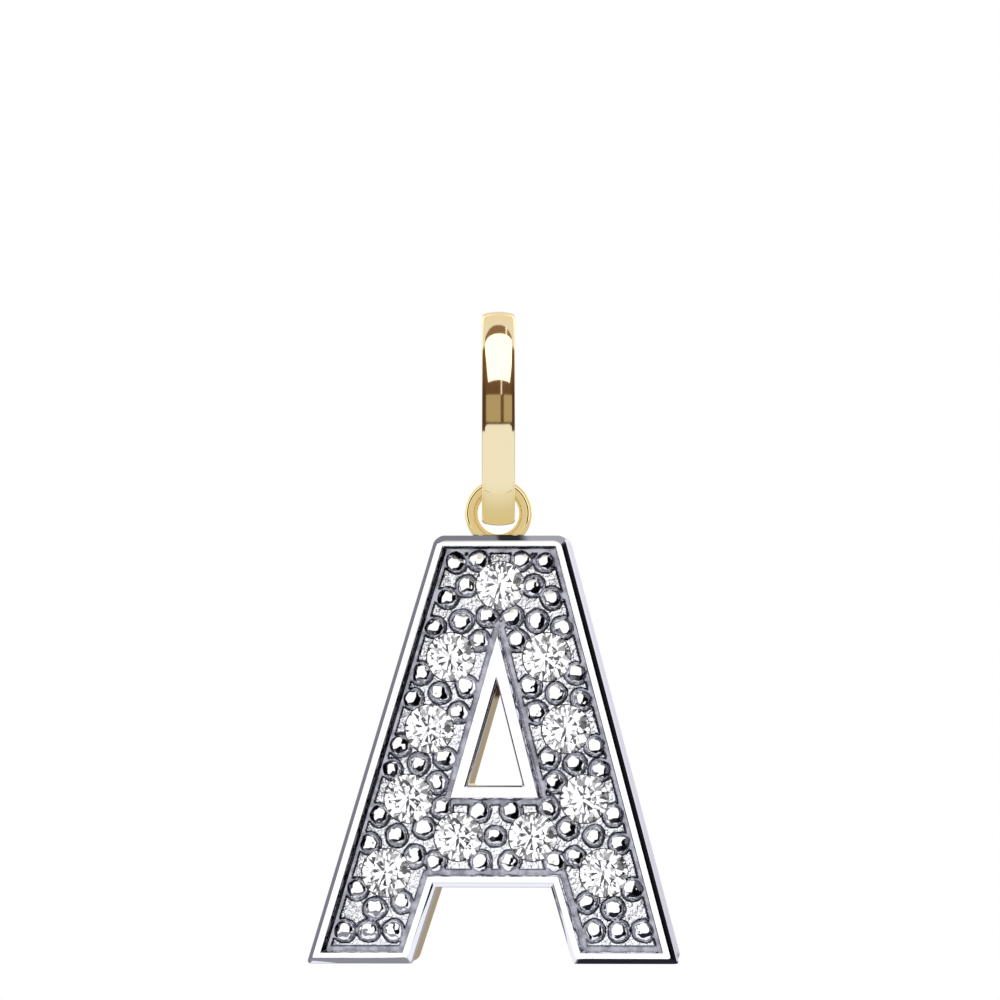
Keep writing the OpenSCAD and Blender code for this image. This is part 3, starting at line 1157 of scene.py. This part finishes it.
def dark_side(nodes, x, y, z, low, high):
    across, back, up = DARK_WAY
    return nodes.step(across * x + back * y + up * z, low, high)


# What the band mirrors, in millimetres across it and up it from its middle. First the brown
# shade: the arch that ends it, its lower edge with the corners' drop, and its dark sides.
BLUR = 0.02
BAND_FLAT = 0.5
ARCH_HALF, ARCH_FOOT, ARCH_RISE, ARCH_POWER = 0.53, 1.75, 1.31, 2.6
SHADE_FOOT, SHADE_CORNER, CORNER_DROP = -0.2, 0.33, 8
SHADE_SIDE, SIDE_TOP = (0.38, 0.46), (0.8, 1.6)
SHADE_BROWN, TOP_BROWN, SIDE_BROWN = (0.165, 0.09, 0.05), (0.29, 0.18, 0.115), (0.095, 0.055, 0.037)
TOP_BROWN_RISE = (2.4, 2.85)
# The pale ends of the band, above and below the shade, and the black beyond them
PALE_TOP, PALE_MIDDLE, PALE_FOOT = (0.93, 0.925, 0.95), (1.0, 1.01, 1.04), (0.8, 0.76, 0.6)
FOOT_FADE = (-3.4, -2.0)
BLACK_ACROSS, BLACK_UP = (1.42, 1.5), (3.39, 3.45)
# Two tan boxes side by side in the shade's foot
BOX_SPANS, BOX_ROWS, BOX_TAN = ((-0.4, 0.07), (0.175, 0.49)), (-0.12, 0.77), (0.49, 0.4, 0.25)
# The white card: the middle, half width and growth of its sides, its round top, and its foot,
# which hangs lower at the sides
CARD_MIDDLE, CARD_HALF, CARD_ROW, CARD_GROWTH = 0.02, 0.35, 1.185, 0.1
CARD_SHOULDER, CARD_RISE, CARD_POWER = 2.25, 0.52, 2.5
CARD_FOOT, CARD_SAG = 1.26, 0.6
CARD_WHITE = (1.9, 1.9, 1.9)
# Fine bright lines: their spans across and up
LINES = (((0.235, 0.275), (2.74, 3.0)), ((0.08, 0.11), (0.77, 1.3)))
LINE_WHITE = (1.4, 1.4, 1.3)


def paint_bail(nodes, x, y, z):
    """White card over brown shade, as the domed band shows them to a viewer in front.

    A direction is mirrored to the viewer at one place on the band: the distances across and
    up to that place, from the band's middle, lay the cards out.
    """
    forward = 1 - y
    outer = bpy.context.scene.pendant_bail.diameter / 2
    across = x / (x * x + forward * forward + z * z) ** 0.5 * (dome_radius() / MM)
    up = z / (forward * forward + z * z) ** 0.5 * (outer / MM)
    side = abs(across) - abs(across).above(BAND_FLAT)

    def box(span, rows):
        return nodes.between(across, *span, BLUR) * nodes.between(up, *rows, BLUR)

    arch = (side / ARCH_HALF) ** ARCH_POWER + (up.above(ARCH_FOOT) / ARCH_RISE) ** ARCH_POWER
    below_arch = 1 - nodes.over(arch, 1, 3 * BLUR)
    foot = SHADE_FOOT - CORNER_DROP * side.above(SHADE_CORNER) ** 2
    shade = nodes.over(up, foot, BLUR)
    pale = nodes.mix(nodes.step(up, *FOOT_FADE), PALE_FOOT, PALE_MIDDLE)
    pale = nodes.mix(shade, pale, PALE_TOP)
    brown = nodes.mix(nodes.step(up, *TOP_BROWN_RISE), SHADE_BROWN, TOP_BROWN)
    dark = nodes.step(side, *SHADE_SIDE) * (1 - nodes.step(up, *SIDE_TOP))
    colour = nodes.mix(shade * below_arch, pale, nodes.mix(dark, brown, SIDE_BROWN))
    colour = nodes.mix(sum(box(span, BOX_ROWS) for span in BOX_SPANS), colour, BOX_TAN)
    colour = nodes.mix(nodes.step(abs(across), *BLACK_ACROSS), colour, BLACK)
    colour = nodes.mix(nodes.step(abs(up), *BLACK_UP), colour, BLACK)
    colour = nodes.mix(sum(box(*line) for line in LINES), colour, LINE_WHITE)
    half = CARD_HALF + CARD_GROWTH * (up - CARD_ROW)
    card = (abs(across - CARD_MIDDLE) / half) ** CARD_POWER
    card = card + (up.above(CARD_SHOULDER) / CARD_RISE) ** CARD_POWER
    card_foot = CARD_FOOT - CARD_SAG * across * across
    card = (1 - nodes.step(card, 0.93, 1.07)) * nodes.over(up, card_foot, BLUR)
    return nodes.mix(card, colour, CARD_WHITE)


# Rings that the loop mirrors, from outside in: the shares of the way to the flat face's own view
# over which each one takes over, and its colour
LOOP_OUTSIDE = (0.85, 0.75, 0.5)
LOOP_RINGS = (
    (0.26, 0.32, (1.25, 1.25, 1.2)),
    (0.74, 0.78, (0.02, 0.02, 0.02)),
    (0.955, 0.965, (1.25, 1.25, 1.2)),
    (0.985, 0.99, (0.85, 0.745, 0.49)),
)


def paint_loop(nodes, x, y, z):
    """Rings of light and dark round what the loop's flat face mirrors."""
    turn = 2 * sizes().turn
    facing = x * math.sin(turn) - y * math.cos(turn)
    colour = LOOP_OUTSIDE
    for low, high, ring in LOOP_RINGS:
        colour = nodes.mix(nodes.step(facing, low, high), colour, ring)
    return colour


SIDE_GREY = 0.24


def paint_letter(nodes, x, y, z):
    """Grey sides and a dark lower right, round the white key light, and white from below."""
    dark = dark_side(nodes, x, y, z, 0.3, 0.65)
    front = nodes.step(-1 * y, 0.2, 0.5)
    grey = SIDE_GREY * (1 - 0.95 * dark) * (1 - 0.8 * front) * (1 - nodes.step(y, *BEHIND))
    return nodes.mix(grey + nodes.step(-1 * z, 0.93, 0.96), BLACK, COOL_WHITE)


STONE_LIGHT = (1.7, 1.7, 1.75)
# The dark gaps in the stones' light: the size of the noise that makes them, and its values
GAP_SIZE, GAP_RANGE = 0.15, (0.55, 0.59)


def paint_stones(nodes, x, y, z):
    """Bright and broken light for the stones, with dark gaps that their facets pick up."""
    gaps = nodes.step(nodes.noise(GAP_SIZE, detail=1.0), *GAP_RANGE)
    dark = dark_side(nodes, x, y, z, 0.35, 0.7)
    light = (1 - 0.92 * gaps) * (1 - 0.8 * dark) * (1 - nodes.step(y, *BEHIND))
    return nodes.mix(light, BLACK, STONE_LIGHT)


def paint_feet(nodes, x, y, z):
    """Dark under the right foot, grey under the left one and light under the notch."""
    colour = nodes.mix(nodes.step(x, -3.0 * MM, -2.4 * MM), (0.3, 0.3, 0.33), (1.0, 1.0, 1.05))
    return nodes.mix(nodes.step(x, 2.3 * MM, 2.6 * MM), colour, (0.02, 0.02, 0.03))


def paint_apron_top(nodes, x, y, z):
    """Cream, warmer towards the front, for the foot of the bail."""
    return nodes.mix(nodes.step(y, -2.6 * MM, -1.0 * MM), (0.92, 0.9, 0.82), (0.78, 0.74, 0.56))


def paint_apron_foot(nodes, x, y, z):
    """Grey with a dark stretch right of the middle, for the bevel on the letter's top."""
    dark = nodes.step(x, -0.15 * MM, 0.05 * MM) * (1 - nodes.step(x, 0.6 * MM, 1.0 * MM))
    grey = nodes.mix(nodes.step(x, 0.6 * MM, 1.1 * MM), (0.24, 0.24, 0.27), (0.42, 0.42, 0.46))
    return nodes.mix(dark, grey, (0.03, 0.03, 0.035))


ON_LETTER = ("letter_front", "letter_field", "letter_body")
ON_BAIL = ("bail_band",)
ON_LOOP = ("loop",)
# Domes and the pieces that mirror them. Each is wider than the last, so that none hides another.
DOMES = (
    ("bail_surround", paint_bail, ON_BAIL),
    ("loop_surround", paint_loop, ON_LOOP),
    ("letter_surround", paint_letter, ON_LETTER),
    ("stone_surround", paint_stones, STONES),
)
DOME_RADIUS, DOME_STEP = 0.5, 0.02
# Cards: their widths, how far in front their front and back edges lie, and their heights. Two
# lie back to back at the letter's top edge.
APRON_LEVEL, BACK_GAP, FEET_GAP = -6.5 * MM, 0.002 * MM, 0.1 * MM
CARDS = (
    ("apron_top", paint_apron_top, 4.8 * MM, 2.5 * MM, -0.9 * MM, APRON_LEVEL),
    ("apron_foot", paint_apron_foot, 4.8 * MM, 1.45 * MM, -0.9 * MM, APRON_LEVEL - BACK_GAP),
    ("feet_shade", paint_feet, 14 * MM, 2.6 * MM, 0, LETTER_FOOT - FEET_GAP),
)
# The key light: degrees to the camera's right and up, spread in degrees, brightness in a mirror
KEY_AROUND, KEY_UP, KEY_SPREAD = -26, 16, 100
KEY_COLOUR = (1.25, 1.25, 1.25)
KEY_DISTANCE = 0.4
FLOOR_LEVEL, FLOOR_SIZE, WALL_RADIUS = -60 * MM, 4.0, 2.0
CAMERA_PLACE = Vector((0.05 * MM, -1000 * MM, -5.365 * MM))
SENSOR = 36
# Width of the view, and the distance in front of the middle where it is measured
FRAME_WIDTH, FRAME_PLANE = 32.69 * MM, 0.9 * MM


def hide_from(piece, *rays):
    for ray in rays:
        setattr(piece, f"visible_{ray}", False)


def light_only(light, pieces):
    """Lets a light or a shining surface light only these pieces."""
    lit = bpy.data.collections.new(light.name)
    for piece in pieces:
        lit.objects.link(bpy.data.objects[piece])
    light.light_linking.receiver_collection = lit


class PENDANT_OT_studio(bpy.types.Operator):
    """Sets up the white backdrop, the key light, the painted domes and cards, and the camera"""

    bl_idname = "pendant.studio"
    bl_label = "Studio"

    def execute(self, context):
        scene = context.scene
        scene.view_settings.view_transform = "Standard"
        scene.world = self.surroundings()
        self.backdrop()
        self.key_light()
        for name in ON_BAIL + ON_LOOP:
            hide_from(bpy.data.objects[name], "glossy")
        for number, (name, paint, pieces) in enumerate(DOMES):
            self.dome(name, DOME_RADIUS + number * DOME_STEP, paint, pieces)
        for card in CARDS:
            self.card(*card)
        lens = bpy.data.cameras.new("camera")
        lens.sensor_width = SENSOR
        lens.lens = SENSOR * (-CAMERA_PLACE.y - FRAME_PLANE) / FRAME_WIDTH
        lens.clip_start = 0.01
        camera = bpy.data.objects.new("camera", lens)
        scene.collection.objects.link(camera)
        camera.location = CAMERA_PLACE
        camera.rotation_euler = (math.radians(90), 0, 0)
        scene.camera = camera
        return {"FINISHED"}

    def surroundings(self):
        """The white behind the pendant, which its sides and its back mirror."""
        world = bpy.data.worlds.new("studio")
        world.use_nodes = True
        nodes = Nodes(world.node_tree)
        y, z = nodes.parts(nodes.value("ShaderNodeTexCoord", output="Generated"))[1:]
        level = 1 - nodes.step(abs(z), 0.35, 0.5)
        strength = nodes.step(y, *BEHIND) * level * (0.42 + 0.5 * nodes.step(z, -0.05, 0.12))
        background = world.node_tree.nodes["Background"]
        nodes.feed(background, {"Color": rgba(COOL_WHITE), "Strength": strength})
        return world

    def backdrop(self):
        """The pale floor and the white behind it, which only the camera sees."""
        finish = Finish("pale_floor")
        finish.shine(rgba(WHITE))
        bpy.ops.mesh.primitive_plane_add(size=FLOOR_SIZE, location=(0, 0, FLOOR_LEVEL))
        floor = added("studio_floor")
        bpy.ops.mesh.primitive_uv_sphere_add(segments=64, ring_count=32, radius=WALL_RADIUS)
        for piece in (floor, added("studio_wall")):
            settle(piece)
            piece.data.materials.append(finish.material)
            hide_from(piece, "diffuse", "glossy", "transmission", "shadow")

    def key_light(self):
        """The soft light that faces the letter, and lights nothing else."""
        around, up = math.radians(KEY_AROUND), math.radians(KEY_UP)
        towards = Matrix.Rotation(around, 3, "Z") @ Vector((0, -math.cos(up), math.sin(up)))
        bpy.ops.object.light_add(
            type="AREA",
            location=KEY_DISTANCE * towards + Vector((0, 0, CAMERA_PLACE.z)),
            rotation=(math.radians(90) - up, 0, around),
        )
        light = added("letter_key")
        light.data.size = 2 * KEY_DISTANCE * math.tan(math.radians(KEY_SPREAD) / 2)
        light.data.color = KEY_COLOUR
        light.data.energy = math.pi * light.data.size ** 2
        hide_from(light, "camera")
        light_only(light, ON_LETTER)

    def dome(self, name, radius, paint, pieces):
        """A clear dome whose painted glow only these pieces mirror."""
        bpy.ops.mesh.primitive_uv_sphere_add(segments=64, ring_count=32, radius=radius)
        dome = added(name)
        finish = Finish(name)
        way = finish.value("ShaderNodeVectorMath", {"operation": "NORMALIZE"}, {0: finish.place})
        glow = finish.value("ShaderNodeEmission", inputs={"Color": paint(finish, *finish.parts(way))})
        clear = finish.value("ShaderNodeBsdfTransparent")
        both = finish.value("ShaderNodeAddShader", inputs={0: glow, 1: clear})
        finish.feed(finish.tree.nodes["Material Output"], {"Surface": both})
        finish.tree.nodes.remove(finish.shader)
        dome.data.materials.append(finish.material)
        hide_from(dome, "camera", "diffuse", "shadow")
        light_only(dome, pieces)

    def card(self, name, paint, width, front, back, level):
        """A small level card, painted by place, that the metal near it mirrors."""
        bpy.ops.mesh.primitive_plane_add(size=1.0)
        card = added(name)
        card.scale = (width, front - back, 1)
        card.location = (0, -(front + back) / 2, level)
        settle(card)
        finish = Finish(name)
        finish.shine(paint(finish, *finish.parts(finish.place)))
        card.data.materials.append(finish.material)
        hide_from(card, "camera", "diffuse", "shadow", "transmission")


class PENDANT_PT_panel(bpy.types.Panel):
    """Lists the steps that build the pendant, and its sizes"""

    bl_idname = "PENDANT_PT_panel"
    bl_label = "Initial Pendant"
    bl_space_type = "VIEW_3D"
    bl_region_type = "UI"
    bl_category = "Pendant"

    def draw(self, context):
        for step in STEPS:
            self.layout.operator(step.bl_idname)
        for scene_name, group in GROUPS.items():
            for name in group.__annotations__:
                self.layout.prop(getattr(context.scene, scene_name), name)


STEPS = (
    PENDANT_OT_bail, PENDANT_OT_letter_body, PENDANT_OT_letter_front, PENDANT_OT_stones,
    PENDANT_OT_studio,
)
GROUPS = {
    "pendant_bail": BailSizes, "pendant_letter": LetterSizes, "pendant_colours": PendantColours
}
CLASSES = (*GROUPS.values(), *STEPS, PENDANT_PT_panel)


def register():
    for cls in CLASSES:
        bpy.utils.register_class(cls)
    for name, group in GROUPS.items():
        setattr(bpy.types.Scene, name, bpy.props.PointerProperty(type=group))


def unregister():
    for name in GROUPS:
        delattr(bpy.types.Scene, name)
    for cls in reversed(CLASSES):
        bpy.utils.unregister_class(cls)


def main():
    register()
    bpy.ops.pendant.bail()
    bpy.ops.pendant.letter_body()
    bpy.ops.pendant.letter_front()
    bpy.ops.pendant.stones()
    bpy.ops.pendant.studio()


if __name__ == "__main__":
    main()
